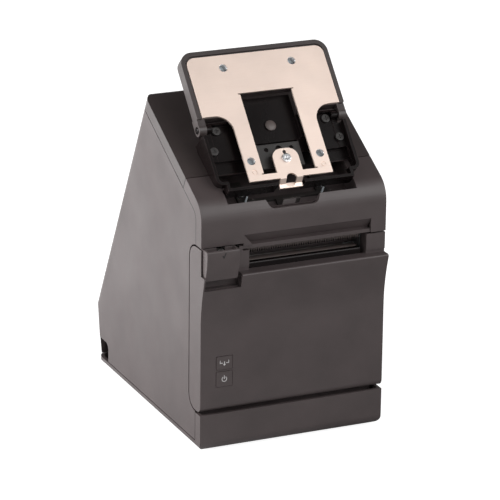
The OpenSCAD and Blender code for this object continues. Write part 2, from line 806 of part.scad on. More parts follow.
module tear_bar() {
    count = floor((tear_x1 - tear_x0) / tooth_pitch);
    color([0.35, 0.35, 0.36]) front_slab(tear_y, tear_y + 1) polygon(concat(
        [[tear_x0, mouth_top - 1], [tear_x0, tear_z]],
        [for (i = [0 : count - 1]) each [
            [tear_x0 + i * tooth_pitch + tooth_pitch / 2, tear_z - tooth_h],
            [tear_x0 + (i + 1) * tooth_pitch, tear_z]]],
        [[tear_x1, tear_z], [tear_x1, mouth_top - 1]]));
}

module paper_guide() {
    color([0.15, 0.15, 0.16]) slab(bay_x0, bay_x1) polygon([
        [24.4, 113], [26.6, 117.2], [25.4, 117.6], [23.2, 112.4], [23.2, 104], [24.4, 104]]);
    color([0.15, 0.15, 0.16]) for (x = [bay_x0, bay_x1 - 2]) box(x, x + 2, 24.4, 40, 104, 106);
}

module cutter_bed() {
    color([0.13, 0.13, 0.14]) {
        box(bed_x0, bed_x1, blade_y, 72, blade_z - 2.2, blade_z - 0.2);
        for (x = [bed_x0, bed_x1 - 2]) box(x, x + 2, blade_y, 72, blade_z - 0.2, blade_z + 3);
        // The dark face over the slot, behind the tear bar, and its roof.
        slab(bed_x0, bed_x1) polygon([
            [11, mouth_top - 4], [13, mouth_top - 4], [blade_y, blade_z + 3.2], [blade_y + 4, blade_z + 3.2],
            [blade_y + 4, blade_z + 4.4], [blade_y, blade_z + 4.4], [13, mouth_top - 1],
            [11, mouth_top - 1]]);
    }
}

// The moving blade: a shallow V edge, with a rack on top at each end.
module moving_blade() {
    x0 = bed_x0 + 2.3;
    x1 = bed_x1 - 2.3;
    mid = (x0 + x1) / 2;
    color([0.8, 0.8, 0.82]) {
        translate([0, 0, blade_z]) linear_extrude(blade_t) polygon([
            [x0, blade_y + 1], [mid, blade_y + 4.5], [x1, blade_y + 1], [x1, 66], [x0, 66]]);
        for (x = [x0 + 1, x1 - 5]) slab(x, x + 4) translate([0, blade_z + blade_t]) polygon(concat(
            [[40, 0], [40, 1.6]],
            [for (i = [0 : 8]) let (y = cutter_pinion_c[0] + (i - 3.5) * PI * rack_module) each [
                [y + rack_module * 0.47, 1.6 - rack_module * 1.05],
                [y + rack_module * 1.12, 1.6 + rack_module * 0.75],
                [y + rack_module * 2.02, 1.6 + rack_module * 0.75],
                [y + rack_module * 2.67, 1.6 - rack_module * 1.05]]],
            [[65, 0.7], [65, 0]]));
    }
}

module cutter_pinion_shaft() {
    color([0.82, 0.8, 0.74]) {
        x_rod(plate_left - 1, plate_right + plate_thick + 1.6, cutter_pinion_c, 2 - running);
        for (x = [bed_x0 + 3.5, bed_x1 - 7.1]) spur(x, x + 3.6, cutter_pinion_c, cutter_teeth, rack_module,
            180 / cutter_teeth - 90, 0);
        spur(plate_left - 3.6, plate_left - 0.6, cutter_pinion_c, cutter_wheel_teeth, cutter_gear_m, 20, 0);
    }
}

module cutter_motor() {
    color([0.7, 0.7, 0.72]) difference() {
        union() {
            x_rod(plate_left + plate_thick, plate_left + plate_thick + 24, cutter_motor_c, 7.2);
            x_rod(plate_left + plate_thick + 24, plate_left + plate_thick + 26, cutter_motor_c, 2.5);
        }
        x_rod(plate_left - 1, plate_left + 5, cutter_motor_c, 1.6);
    }
}

module cutter_motor_pinion() {
    color([0.85, 0.75, 0.4]) {
        spur(plate_left - 3.6, plate_left - 0.6, cutter_motor_c, cutter_drive_teeth, cutter_gear_m,
            200 + 180 / cutter_drive_teeth, 0);
        x_rod(plate_left - 0.6, plate_left + 4, cutter_motor_c, 1);
    }
}

module feed_motor() {
    color([0.68, 0.69, 0.71]) difference() {
        union() {
            x_rod(plate_right - 20, plate_right, motor_c, 12.6);
            x_rod(plate_right - 21.5, plate_right - 20, motor_c, 4);
        }
        x_rod(plate_right - 6, plate_right + 1, motor_c, 1.6);
    }
}

module motor_pinion() {
    color([0.85, 0.75, 0.4]) {
        spur(layer_b, layer_b + gear_w, motor_c, pinion_teeth, gear_m,
            180 + motor_angle + mesh_turn(idler_teeth, pinion_teeth, idler_phase, motor_angle), 0);
        x_rod(plate_right - 4, layer_b + gear_w, motor_c, 1.2);
    }
}

// Angle of one tooth of the second gear, from the line of centres back to the first gear, that
// puts it in mesh when the first gear has a tooth at angle phase.
function mesh_turn(teeth1, teeth2, phase, line) = 180 / teeth2 - (phase - line) * teeth1 / teeth2;
idler_phase = idler_angle + 180 + mesh_turn(big_teeth, idler_teeth, train_angle, idler_angle);

module idler_gear() {
    color([0.88, 0.87, 0.83])
        spur(layer_b, layer_b + gear_w, idler_c, idler_teeth, gear_m, idler_phase, stud_r + running);
}

module reduction_gear() {
    color([0.88, 0.87, 0.83]) {
        spur(layer_a, layer_a + gear_w, reduction_c, small_teeth, gear_m,
            train_angle + 180, stud_r + running);
        slab(layer_a + gear_w, layer_b) translate(reduction_c) difference() {
            circle(r = 4, $fn = 48);
            circle(r = stud_r + running, $fn = 48);
        }
        spur(layer_b, layer_b + gear_w, reduction_c, big_teeth, gear_m, train_angle, stud_r + running);
    }
}

module gear_studs() {
    color([0.75, 0.75, 0.76]) for (c = [reduction_c, idler_c]) {
        x_rod(plate_right, layer_b + gear_w + 0.3, c, stud_r);
        x_rod(layer_b + gear_w + 0.3, layer_b + gear_w + 0.9, c, stud_r + 1);
    }
}

module thermal_head() {
    color([0.82, 0.8, 0.76]) slab(head_x0, head_x1) polygon([
        [head_face_y + 0.6, platen_z - 3.5], [head_face_y + 1.6, platen_z - 3.5],
        [head_face_y + 1.6, platen_z + 9], [head_face_y + 0.6, platen_z + 9],
        [head_face_y + 0.6, platen_z + 1], [head_face_y, platen_z + 0.4], [head_face_y, platen_z - 0.4],
        [head_face_y + 0.6, platen_z - 1]]);
}

module head_heat_sink() {
    color([0.72, 0.73, 0.75]) difference() {
        union() {
            slab(head_x0, head_x1) polygon([
                [head_face_y + 1.6, platen_z - 3.5], [head_face_y + 4, platen_z - 3.5],
                [head_face_y + 4, platen_z + 6.5], [head_pivot[0], platen_z + 6.5],
                [head_pivot[0], platen_z + 9], [head_face_y + 1.6, platen_z + 9]]);
            x_rod(head_x0, head_x1, head_pivot, 2.6);
        }
        x_rod(head_x0 - 1, head_x1 + 1, head_pivot, 1.5 + running);
        for (i = [0 : fin_count - 1]) box(head_x0 + 5 + i * fin_pitch, head_x0 + 6.6 + i * fin_pitch,
            head_face_y + 2.6, head_face_y + 6, platen_z - 5, platen_z + 5);
    }
}

module head_pivot_pin() {
    color([0.75, 0.75, 0.76]) x_rod(plate_left, plate_right + plate_thick, head_pivot, 1.5);
}

// Two coil springs that push the head's foot forward, and the stop they stand on.
module head_springs() {
    color([0.7, 0.7, 0.72]) for (x = [head_x0 + 16, head_x1 - 16]) for (i = [0 : 4]) difference() {
        y_rod(head_face_y + 5.2 + i * 1.9, head_face_y + 6 + i * 1.9, x, platen_z, 2.6);
        y_rod(head_face_y + 4, head_face_y + 16, x, platen_z, 1.9);
    }
}

// ---- Roll bay, boards and connectors ----

module roll_bay() {
    color([0.2, 0.2, 0.21]) {
        difference() {
            slab(bay_x0 - bay_wall, bay_x1 + bay_wall) polygon(outline([
                [22, bay_bottom - bay_wall, 6], [bay_y + bay_wall, bay_bottom - bay_wall, bay_r + bay_wall],
                [bay_y + bay_wall, bay_top, 1], [22, bay_top, 1]]));
            slab(bay_x0, bay_x1) polygon(outline([
                [-20, bay_bottom, 1], [bay_y, bay_bottom, bay_r],
                [bay_y, bay_top + 20, 1], [-20, bay_top + 20, 1]]));
        }
        // Side flanges that rest on the base's floor.
        for (x = [bay_x0 - bay_wall - 6, bay_x1 + bay_wall])
            box(x, x + 6, 30, 100, foot_h + wall, foot_h + wall + 2);
        for (x = [bay_x0 - bay_wall, bay_x1]) box(x, x + bay_wall, 30, 100, foot_h + wall, bay_bottom);
    }
}

module main_board() {
    color([0.1, 0.32, 0.17]) difference() {
        box(-57, 57, board_y, board_y + board_t, board_foot_z, 100);
        for (x = [-52, 52]) for (z = [board_foot_z + 5, 95]) y_rod(board_y - 1, board_y + 3, x, z, 1.6);
    }
}

module board_parts() {
    y = board_y + board_t;
    color([0.08, 0.08, 0.08]) {
        box(-10, 6, y, y + 1.6, 76, 92);
        box(-34, -24, y, y + 1.4, 80, 88);
        box(20, 28, y, y + 1.4, 78, 90);
        for (x = [-46, -40]) y_rod(y, y + 10, x, 72, 2.6);
        for (i = [0 : 5]) box(32 + i * 3.2, 34 + i * 3.2, y, y + 1, 70, 72);
    }
}

// A socket body from the board to the panel, open to the rear.
module socket(x, z, w, h, mouth_w, mouth_h) {
    difference() {
        front_slab(board_y + board_t, panel_y + 1.2)
            round_rect(x - w / 2, x + w / 2, z - h / 2, z + h / 2, 0.5);
        front_slab(panel_y - 9, panel_y + 3)
            round_rect(x - mouth_w / 2, x + mouth_w / 2, z - mouth_h / 2, z + mouth_h / 2, 0.4);
    }
}

module power_socket() {
    color([0.1, 0.1, 0.1]) difference() {
        front_slab(board_y + board_t, panel_y + 1.2) round_rect(-48 - 7, -48 + 7, port_z - 7, port_z + 7, 1);
        y_rod(panel_y - 9, panel_y + 3, -48, port_z, 5);
    }
}

module usb_sockets() {
    color([0.75, 0.75, 0.76]) {
        socket(-24, port_z, 12, 11, 8.4, 7.6);
        socket(-4, port_z, 14.5, 7, 12.4, 4.8);
    }
}

module network_socket() { color([0.7, 0.7, 0.72]) socket(18, port_z, 16, 13.5, 11.8, 8.4); }

module drawer_socket() { color([0.12, 0.12, 0.12]) socket(42, port_z, 14, 12.5, 10, 8); }

// The recess behind the case's rear opening, with a hole for each socket.
module connector_panel() {
    color([0.22, 0.21, 0.21]) difference() {
        union() {
            box(-panel_half - 4, panel_half + 4, panel_y - 2, panel_y, strip_top + 2, panel_z1 + 12);
            box(-panel_half - 4, panel_half + 4, panel_y, panel_y + 37.5, panel_z1 + 8, panel_z1 + 10);
        }
        y = panel_y - 3;
        front_slab(y, y + 4) round_rect(-48 - 7.2, -48 + 7.2, port_z - 7.2, port_z + 7.2, 1);
        for (p = [[-24, 12, 11], [-4, 14.5, 7], [18, 16, 13.5], [42, 14, 12.5]])
            front_slab(y, y + 4) round_rect(p[0] - p[1] / 2 - 0.2, p[0] + p[1] / 2 + 0.2,
                port_z - p[2] / 2 - 0.2, port_z + p[2] / 2 + 0.2, 0.5);
    }
}

module board_screws() {
    color([0.72, 0.72, 0.7]) for (x = [-52, 52]) for (z = [board_foot_z + 5, 95])
        translate([x, board_y + board_t + 1.8, z]) rotate([-90, 0, 0]) pan_screw(2.8, 1.8, 1.4, 6);
}

// ---- Tablet stand ----

// Put what is drawn as x, v (up the plate) and w (out of the plate) where the stand holds it.
module on_plate() {
    translate([0, pin_y, pin_z]) rotate([plate_tilt, 0, 0]) children();
}

module tile(x0, x1, v0, v1, w0, w1) { translate([x0, v0, w0]) cube([x1 - x0, v1 - v0, w1 - w0]); }

module sheet(w0, w1) { translate([0, 0, w0]) linear_extrude(w1 - w0) children(); }

// Outline of the tablet plate: a wide head on two legs, with curved shoulders.
module plate_outline() {
    s = shoulder_v;
    for (side = [0, 1]) mirror([side, 0]) polygon(concat(
        [[-0.01, plate_v0], [leg_half, plate_v0], [leg_half, s - shoulder_r]],
        [for (a = [180 : -9 : 90])
            [leg_half + shoulder_r + shoulder_r * cos(a), s - shoulder_r + shoulder_r * sin(a)]],
        [[plate_half, s]],
        [for (a = [0 : 10 : 90]) [plate_half - 6 + 6 * cos(a), plate_v1 - 6 + 6 * sin(a)]],
        [[-0.01, plate_v1]]));
}

// The plate's window, with a tongue left standing in it and relief slits at its corners.
module plate_window() {
    difference() {
        union() {
            translate([-window_half, window_v0]) square([2 * window_half, window_v1 - window_v0]);
            for (v = [window_v0, window_v1 - 0.9])
                translate([-window_half - 1.6, v]) square([2 * window_half + 3.2, 0.9]);
        }
        tongue_outline();
    }
}

module tongue_outline() {
    translate([-tongue_half, window_v0 - 1]) square([2 * tongue_half, tongue_v1 - window_v0 + 1 - 7]);
    translate([-tongue_half + 7, tongue_v1 - 8]) square([2 * tongue_half - 14, 8]);
    for (x = [-1, 1]) translate([x * (tongue_half - 7), tongue_v1 - 7]) circle(r = 7, $fn = 48);
}

module tablet_plate() {
    color([0.86, 0.81, 0.77]) on_plate() {
        difference() {
            sheet(plate_w - plate_t, plate_w) difference() {
                plate_outline();
                plate_window();
                for (x = [-hole_half, hole_half]) for (v = [hole_v0, hole_v1])
                    translate([x, v]) circle(r = plate_hole_r, $fn = 64);
                translate([0, tongue_hole_v]) circle(r = 1.4, $fn = 32);
                translate([0, lock_v]) circle(r = 1.6, $fn = 32);
                translate([0, plate_v0 - 1]) circle(r = 4, $fn = 48);
            }
            for (x = [-hole_half, hole_half]) translate([x, dimple_v, plate_w - 0.4]) difference() {
                cylinder(r = 1.9, h = 1, $fn = 32);
                cylinder(r = 1.3, h = 1, $fn = 32);
            }
        }
        // Threaded collars pulled through behind the four holes.
        for (x = [-hole_half, hole_half]) for (v = [hole_v0, hole_v1])
            translate([x, v, plate_w - plate_t - collar_h]) difference() {
                cylinder(r = plate_hole_r + 0.9, h = collar_h, $fn = 64);
                translate([0, 0, -1]) cylinder(r = plate_hole_r, h = collar_h + 2, $fn = 64);
            }
        // The latch tab, bent back from the plate's lower edge and out again at its end.
        difference() {
            slab(-8.5, 8.5) polygon([
                [plate_v0, plate_w - plate_t], [plate_v0 + 0.2, plate_w], [plate_v0 - 0.6, plate_w],
                [plate_v0 - 2.8, plate_w - 4.8], [plate_v0 - 5.4, plate_w - 5.4],
                [plate_v0 - 5.4, plate_w - 6.8], [plate_v0 - 1.8, plate_w - 6.2]]);
            translate([0, plate_v0 - 1, 0]) cylinder(r = 4, h = 20, $fn = 48);
        }
    }
}

module lock_screw() {
    color([0.8, 0.79, 0.77]) on_plate()
        translate([0, lock_v, plate_w + 1.5]) pan_screw(3.2, 1.5, 1.5, 3);
}

module tilt_tray() {
    color([0.15, 0.14, 0.14]) on_plate() {
        difference() {
            sheet(plate_w - tray_depth, plate_w - 0.2) tray_outline(0);
            sheet(plate_w - plate_t, plate_w + 1) tray_outline(3.2);
            sheet(plate_w - plate_t - 2.8, plate_w) difference() {
                tray_outline(5.2);
                for (x = [-hole_half, hole_half]) translate([x, hole_v1]) circle(r = 6.5, $fn = 48);
            }
            for (x = [-hole_half, hole_half]) translate([x, hole_v1, plate_w - plate_t - collar_h - 0.6])
                cylinder(r = plate_hole_r + 1.2, h = collar_h + 2, $fn = 48);
            tile(-window_half - 2, window_half + 2, shoulder_v - 2, window_v1 + 1, -10, 10);
            tile(-plate_half - 0.3, plate_half + 0.3, shoulder_v - 3, shoulder_v + 6,
                plate_w - plate_t, plate_w + 1);
        }
        // Pivot ears down to the tilt pins.
        for (s = [-1, 1]) difference() {
            union() {
                tile(s > 0 ? ear_in : -tray_half, s > 0 ? tray_half : -ear_in, 0, shoulder_v + 2,
                    -ear_r, plate_w - plate_t - 0.2);
                x_rod(s > 0 ? ear_in : -tray_half, s > 0 ? tray_half : -ear_in, [0, 0], ear_r);
            }
            x_rod(s > 0 ? ear_in - 1 : -tray_half - 1, s > 0 ? tray_half + 1 : 1 - ear_in, [0, 0],
                tilt_pin_r + running);
        }
    }
}

// Outline of the tray behind the head of the plate, set in by t.
module tray_outline(t) {
    polygon(outline([
        [-tray_half, shoulder_v - 0.5, 1.2], [tray_half, shoulder_v - 0.5, 1.2],
        [tray_half, tray_v1, 9], [-tray_half, tray_v1, 9]], t, 8));
}

module tilt_pins() {
    color([0.8, 0.8, 0.8]) on_plate() for (s = [-1, 1]) {
        x_rod(s > 0 ? ear_in - 5 : -tray_half - 0.4, s > 0 ? tray_half + 0.4 : 5 - ear_in, [0, 0],
            tilt_pin_r);
    }
}

// Outline of the cradle's wide part and its narrow foot.
module cradle_outline(t) {
    polygon(outline([
        [-cradle_half, step_v, 5], [cradle_half, step_v, 5],
        [cradle_half, cradle_v1, 1], [-cradle_half, cradle_v1, 1]], t, 6));
    if (t < 3) translate([-step_half + t, cradle_v0 + t]) square([2 * (step_half - t), 10]);
}

module lower_cradle() {
    color([0.13, 0.12, 0.12]) on_plate() difference() {
        intersection() {
            sheet(-14, cradle_w) cradle_outline(0);
            // The underside runs just above the slope of the case, and dips into the well at its foot.
            slab(-80, 80) polygon([
                [cradle_v0 - 1, -7.6], [step_v - 0.2, -7.6], [step_v - 0.1, under_w(step_v)],
                [cradle_v1 - 12, under_w(cradle_v1 - 12)],
                [cradle_v1 + 1, under_w(cradle_v1 - 12)], [cradle_v1 + 1, 20], [cradle_v0 - 1, 20]]);
        }
        // The rim slopes away by the pins, so that the plate can lie down.
        slab(-80, 80) polygon([
            [-2.5, cradle_w], [cradle_v1 + 1, cradle_w - 2.8], [cradle_v1 + 1, 20], [-2.5, 20]]);
        // The deep pocket behind the plate's legs, and the shallow one above its ledge.
        sheet(-1.8, 20) cradle_outline(2.2);
        tile(-cradle_half + 8, cradle_half - 8, ledge_v, cradle_v1 - 1.2, -2.4, 7.6);
        tile(-cradle_half + 3, cradle_half - 3, step_v + 3, ledge_v, pocket_w, pocket_w + 20);
        translate([-step_half + 2, cradle_v0 + 2, -5]) cube([2 * step_half - 4, 16, 20]);
        // The gap in the lower rim for the latch tab.
        tile(-10, 10, cradle_v0 - 1, step_v + 4, -20, 20);
        // Rear room for the window panel, and holes for the tilt pins.
        tile(-window_half - 1.5, window_half + 1.5, panel_v0, cradle_v1 + 1, -30, 20);
        tile(-bracket_half - 0.4, bracket_half + 0.4, bracket_v0 - 0.4, panel_v0 + 1, -30, 20);
        for (s = [-1, 1]) {
            tile(s > 0 ? ear_in - 0.3 : -cradle_half - 1, s > 0 ? cradle_half + 1 : 0.3 - ear_in,
                -ear_r - 1, 10, -30, 20);
            x_rod(s > 0 ? ear_in - 5 : -ear_in, s > 0 ? ear_in : 5 - ear_in, [0, 0], tilt_pin_r);
            for (p = cradle_screw_at) translate([s * p[0], p[1], -20]) cylinder(r = 1.5, h = 30, $fn = 32);
        }
    }
}

// Height of the cradle's underside, just clear of the case's slope.
function under_w(v) = -17.6 - (v + 0) * tan(plate_tilt - slope);

module cradle_screws() {
    color([0.3, 0.3, 0.31]) on_plate() for (s = [-1, 1]) for (p = cradle_screw_at)
        translate([s * p[0], p[1], p[2] + 1.5]) pan_screw(3, 1.5, 1.5, 4.5);
}

// The dark panel seen through the plate's window, with a round boss.
module window_panel() {
    color([0.1, 0.1, 0.1]) on_plate() {
        tile(-window_half - 1, window_half + 1, panel_v0 + 0.4, panel_v1, -5.4, -3.6);
        translate([0, -1.2, -3.7]) cylinder(r = 4, h = 1.2, $fn = 48);
        for (x = [-window_half - 1, window_half - 0.6])
            tile(x, x + 1.6, panel_v0 + 0.4, cradle_v1 - 0.5, -5.4, 1);
        tile(-window_half - 1, window_half + 1, panel_v1 - 1.6, panel_v1, -7.4, -3.6);
    }
}

// The steel bracket: a foot in the well, and a leaf that rises behind the plate's tongue.
module stand_bracket() {
    color([0.36, 0.35, 0.35]) {
        on_plate() difference() {
            union() {
                tile(-bracket_half, bracket_half, bracket_v0, bracket_v1, bracket_w - 1.6, bracket_w);
                for (x = [-bracket_half, bracket_half - 1.6])
                    tile(x, x + 1.6, bracket_v0, bracket_v1, bracket_w - 8, bracket_w);
            }
            for (x = [-9.5, 0, 9.5]) translate([x, bracket_v1 - 4, -20])
                cylinder(r = x == 0 ? 2.4 : 1.6, h = 30, $fn = 32);
            translate([0, lock_v, -20]) cylinder(r = 1.9, h = 30, $fn = 32);
        }
        translate([0, recess_y, slope_z0 + recess_y * tan(slope)]) rotate([slope, 0, 0])
            {
                for (x = [-34, 26]) tile(x, x + 8, 6, 30, -recess_deep, -recess_deep + 2);
                // A hook at the front of each foot, and the catch behind the finger notch.
                for (s = [-1, 1]) {
                    tile(s * 29 - 0.6, s * 29 + 0.6, 1.2, 6.5, -recess_deep, -recess_deep + 2);
                    tile(s * 29 - 0.6, s * 29 + 0.6, 1.2, 2.6, -recess_deep + 1.9, -1.6);
                }
                tile(-6.5, 6.5, 0.2, 1.4, -recess_deep + 2, -4);
                tile(-6.5, 6.5, 0.2, 10, -recess_deep, -recess_deep + 2.1);
                tile(-29, 29, 10, 13, -recess_deep, -recess_deep + 2);
            }
    }
}

module bracket_screws() {
    color([0.72, 0.72, 0.7]) translate([0, recess_y, slope_z0 + recess_y * tan(slope)]) rotate([slope, 0, 0])
        for (x = [-30, 30]) translate([x, 18, -recess_deep + 3.5]) pan_screw(3, 1.5, 1.4, 0);
}

// ---- The printer, moved so that the origin is under the middle of its bounding box ----

front_most = min([for (p = lever_face) p[0]]);
rear_most = max([for (p = outline(case_corners)) p[0]]);
module centred() { translate([0, -(front_most + rear_most) / 2, 0]) children(); }

centred() base_tray();
centred() rubber_feet();
centred() main_case();
centred() top_cover();
centred() upper_front_cover();
centred() case_screws();
centred() roll_cover();
centred() cover_inner_frame();
centred() cover_hinge_pin();
centred() platen_shaft();
centred() platen_rubber();
centred() platen_gear();
centred() platen_bushings();
centred() fixed_blade();
centred() cover_lever();
centred() lever_pin();
centred() lever_spring();
centred() feed_button();
centred() power_button();
centred() button_board();
centred() key_switches();
centred() mechanism_frame();
centred() tear_bar();
centred() paper_guide();
centred() cutter_bed();
centred() moving_blade();
centred() cutter_pinion_shaft();
centred() cutter_motor();
centred() cutter_motor_pinion();
centred() feed_motor();
centred() motor_pinion();
centred() idler_gear();
centred() reduction_gear();
centred() gear_studs();
centred() thermal_head();
centred() head_heat_sink();
centred() head_pivot_pin();
centred() head_springs();
centred() roll_bay();
centred() main_board();
centred() board_parts();
centred() connector_panel();
centred() power_socket();
centred() usb_sockets();
centred() network_socket();
centred() drawer_socket();
centred() board_screws();
centred() stand_bracket();
centred() bracket_screws();
centred() lower_cradle();
centred() cradle_screws();
centred() tilt_tray();
centred() tilt_pins();
centred() tablet_plate();
centred() lock_screw();
centred() window_panel();
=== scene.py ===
"""Looks of the receipt printer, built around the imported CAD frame."""
import json
import math

import bmesh
import bpy
from mathutils import Matrix, Vector


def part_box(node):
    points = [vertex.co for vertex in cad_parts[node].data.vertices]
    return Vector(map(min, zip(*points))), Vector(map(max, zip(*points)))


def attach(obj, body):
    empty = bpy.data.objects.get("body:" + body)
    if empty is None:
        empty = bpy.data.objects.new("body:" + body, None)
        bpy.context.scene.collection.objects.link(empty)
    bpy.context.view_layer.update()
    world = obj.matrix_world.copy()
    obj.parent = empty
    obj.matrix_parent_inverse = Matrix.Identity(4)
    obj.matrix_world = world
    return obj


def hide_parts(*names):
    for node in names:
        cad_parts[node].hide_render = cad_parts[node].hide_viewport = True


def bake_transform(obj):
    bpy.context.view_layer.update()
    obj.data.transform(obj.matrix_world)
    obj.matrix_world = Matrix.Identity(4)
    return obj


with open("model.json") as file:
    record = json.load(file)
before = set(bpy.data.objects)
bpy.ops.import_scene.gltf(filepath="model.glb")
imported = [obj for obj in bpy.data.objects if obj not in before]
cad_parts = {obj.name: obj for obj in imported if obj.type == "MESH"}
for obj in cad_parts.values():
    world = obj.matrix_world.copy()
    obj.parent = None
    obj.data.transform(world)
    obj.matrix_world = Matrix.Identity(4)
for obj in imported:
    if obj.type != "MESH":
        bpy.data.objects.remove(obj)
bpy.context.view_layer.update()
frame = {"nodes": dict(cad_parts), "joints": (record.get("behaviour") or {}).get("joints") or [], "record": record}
nodes = frame["nodes"]
joints = {joint["name"]: joint for joint in frame["joints"]}
MM = 0.001


# ---- Shader helpers ----

class Shader:
    """A node material under construction, with short calls for the nodes it uses."""

    def __init__(self, name):
        self.material = bpy.data.materials.new(name)
        self.material.use_nodes = True
        self.tree = self.material.node_tree
        self.bsdf = self.tree.nodes["Principled BSDF"]
        self.coords = self.tree.nodes.new("ShaderNodeTexCoord").outputs["Object"]

    def add(self, kind, inputs=None, **settings):
        node = self.tree.nodes.new("ShaderNode" + kind)
        for key, value in settings.items():
            setattr(node, key, value)
        for key, value in (inputs or {}).items():
            self.put(node.inputs[key], value)
        return node

    def put(self, socket, value):
        if isinstance(value, bpy.types.NodeSocket):
            self.tree.links.new(value, socket)
        else:
            socket.default_value = value

    def stretched(self, scale):
        return self.add("Mapping", {"Vector": self.coords, "Scale": scale}).outputs["Vector"]

    def noise(self, scale, detail=2.0, vector=None):
        return self.add("TexNoise", {"Vector": vector or self.coords, "Scale": scale,
                                     "Detail": detail}).outputs["Fac"]

    def ramp(self, value, low, high, start=0.3, end=0.7):
        """Map a 0..1 value to low..high between start and end."""
        return self.add("MapRange", {"Value": value, "From Min": start, "From Max": end,
                                     "To Min": low, "To Max": high}).outputs["Result"]

    def mix(self, factor, a, b, mode="MIX"):
        node = self.add("Mix", data_type="RGBA", blend_type=mode)
        self.put(node.inputs["Factor"], factor)
        self.put(node.inputs["A"], a)
        self.put(node.inputs["B"], b)
        return node.outputs["Result"]

    def edges(self, radius, gain):
        """0 on flat ground, rising to 1 on sharp edges."""
        bevel = self.add("Bevel", {"Radius": radius}, samples=4).outputs["Normal"]
        true = self.add("NewGeometry").outputs["Normal"]
        dot = self.add("VectorMath", {0: bevel, 1: true}, operation="DOT_PRODUCT").outputs["Value"]
        return self.add("MapRange", {"Value": dot, "From Min": 1.0, "From Max": 1.0 - 1.0 / gain,
                                     "To Min": 0.0, "To Max": 1.0}).outputs["Result"]

    def bump(self, height, strength, distance):
        normal = self.add("Bump", {"Height": height, "Strength": strength, "Distance": distance})
        self.put(self.bsdf.inputs["Normal"], normal.outputs["Normal"])

    def finish(self, colour, roughness, metallic=0.0, specular=0.5):
        self.put(self.bsdf.inputs["Base Color"], colour)
        self.put(self.bsdf.inputs["Roughness"], roughness)
        self.bsdf.inputs["Metallic"].default_value = metallic
        self.bsdf.inputs["Specular IOR Level"].default_value = specular
        return self.material


def rgb(r, g, b):
    return (r, g, b, 1.0)


def shade(colour, factor):
    return rgb(*(min(1.0, c * factor) for c in colour[:3]))


def moulded(name, colour, roughness=0.5, grain=2400, depth=0.35, wear_and_sheen=0.5, specular=0.5, rub_and_sheen=1.9):
    """Spark-eroded plastic or paint: fine even grain, faint mottling, and edges paler than the rest: rubbed wear,
    which becomes a painted highlight on the edges where the paling is strong.

    grain and depth set the size and height of the grain, wear_and_sheen how much of the edges is
    paled, and rub_and_sheen how many times paler than the rest they are.
    """
    s = Shader(name)
    mottle = s.ramp(s.noise(38, 3), 0.0, 1.0)
    body = s.mix(mottle, shade(colour, 0.9), shade(colour, 1.1))
    # Paler edges: rubbed wear, and a painted highlight where the paling factor is large.
    rubbed_and_sheen = s.add("Math", {0: s.edges(0.5 * MM, 9), 1: s.ramp(s.noise(260, 4), 0.15, 1.0)},
                   operation="MULTIPLY").outputs["Value"]
    worn_and_sheen = s.add("Math", {0: rubbed_and_sheen, 1: wear_and_sheen}, operation="MULTIPLY").outputs["Value"]
    body = s.mix(worn_and_sheen, body, shade(colour, rub_and_sheen))
    grit = s.noise(grain, 3)
    smudge = s.ramp(s.noise(22, 4), roughness - 0.05, roughness + 0.06)
    s.bump(grit, depth, 0.05 * MM)
    return s.finish(body, smudge, specular=specular)


def brushed(name, colour, roughness=0.35, along=(1.0, 40.0, 40.0), depth=0.12, clouds=0.05):
    """Rolled or brushed metal: fine lines along one way, soft clouds, bright edges."""
    s = Shader(name)
    lines = s.noise(90, 4, s.stretched(along))
    cloud = s.ramp(s.noise(30, 4), 0.0, 1.0)
    body = s.mix(cloud, shade(colour, 1 - clouds), shade(colour, 1 + clouds))
    body = s.mix(s.edges(0.3 * MM, 6), body, shade(colour, 1.15))
    rough = s.ramp(lines, roughness - 0.05, roughness + 0.08)
    s.bump(lines, depth, 0.02 * MM)
    return s.finish(body, rough, metallic=1.0)


def rubber(name, colour):
    """Dull rubber with a little dust on it."""
    s = Shader(name)
    dust = s.ramp(s.noise(700, 5), 0.0, 1.0, 0.45, 0.75)
    body = s.mix(dust, colour, shade(colour, 1.7))
    s.bump(s.noise(3200, 2), 0.4, 0.04 * MM)
    return s.finish(body, s.ramp(dust, 0.62, 0.8, 0, 1), specular=0.3)


def solder_mask(name, colour):
    """A circuit board: lacquer over copper tracks that run in straight lines."""
    s = Shader(name)
    tracks = s.add("TexBrick", {"Vector": s.coords, "Scale": 160.0, "Mortar Size": 0.03,
                                "Color1": rgb(0, 0, 0), "Color2": rgb(0, 0, 0),
                                "Mortar": rgb(1, 1, 1)}).outputs["Fac"]
    body = s.mix(tracks, colour, shade(colour, 1.8))
    s.bump(tracks, 0.3, 0.03 * MM)
    return s.finish(body, s.ramp(s.noise(300, 3), 0.22, 0.34), specular=0.6)


def flat_flex(name, colour):
    """A flat cable: pale foil with the copper strips showing through."""
    s = Shader(name)
    strips = s.add("TexWave", {"Vector": s.coords, "Scale": 250.0, "Distortion": 0.0},
                   wave_type="BANDS", bands_direction="X").outputs["Fac"]
    body = s.mix(s.ramp(strips, 0.0, 1.0), shade(colour, 0.55), colour)
    s.bump(strips, 0.3, 0.05 * MM)
    return s.finish(body, s.ramp(s.noise(200, 3), 0.25, 0.38))


def printed_ink(name, colour):
    """Matt ink, slightly uneven."""
    s = Shader(name)
    return s.finish(s.mix(s.ramp(s.noise(900, 4), 0.0, 1.0), shade(colour, 0.88), colour), 0.6)


